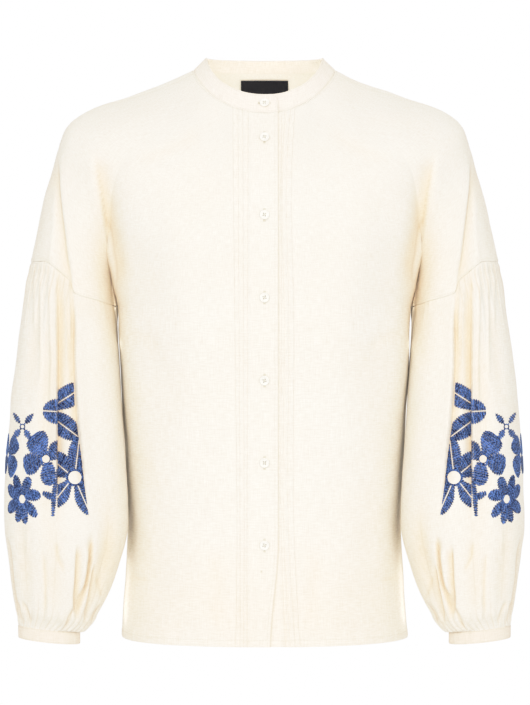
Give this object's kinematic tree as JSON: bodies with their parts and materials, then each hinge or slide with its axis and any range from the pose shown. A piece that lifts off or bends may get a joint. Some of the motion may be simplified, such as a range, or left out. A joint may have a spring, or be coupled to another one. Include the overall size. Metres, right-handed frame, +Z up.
{
  "type": "embroidered linen blouse",
  "caption": "Loose blouse with a stand collar, buttoned front with pin tucks, dropped shoulders and full gathered sleeves embroidered with flowers, filled out as worn.",
  "frame": {"origin": "midway between the two points where the ridges of the shoulders meet the collar, where a wearer's neck base holds the blouse up", "axes": "+Z up along the neck, +X to the wearer's left, -Y out of the buttoned front"},
  "size_m": [0.5884, 0.2424, 0.6698],
  "materials": {
    "linen": "plain-weave linen, unbleached cream, matt",
    "band_linen": "doubled linen, topstitched, matt",
    "thread_blue": "blue embroidery thread with a soft sheen",
    "thread_cream": "cream sewing thread",
    "button": "white button, softly polished",
    "woven_label": "black damask-woven tape, bare"
  },
  "bodies": {
    "root": {"front_right": "linen", "front_left": "linen", "back": "linen", "sleeve_right": "linen", "sleeve_left": "linen", "cuff_right": "band_linen", "cuff_left": "band_linen", "collar_band": "band_linen", "neck_label": "woven_label", "button_1": "button", "button_2": "button", "button_3": "button", "button_4": "button", "button_5": "button", "button_6": "button", "button_7": "button"}
  },
  "joints": []
}
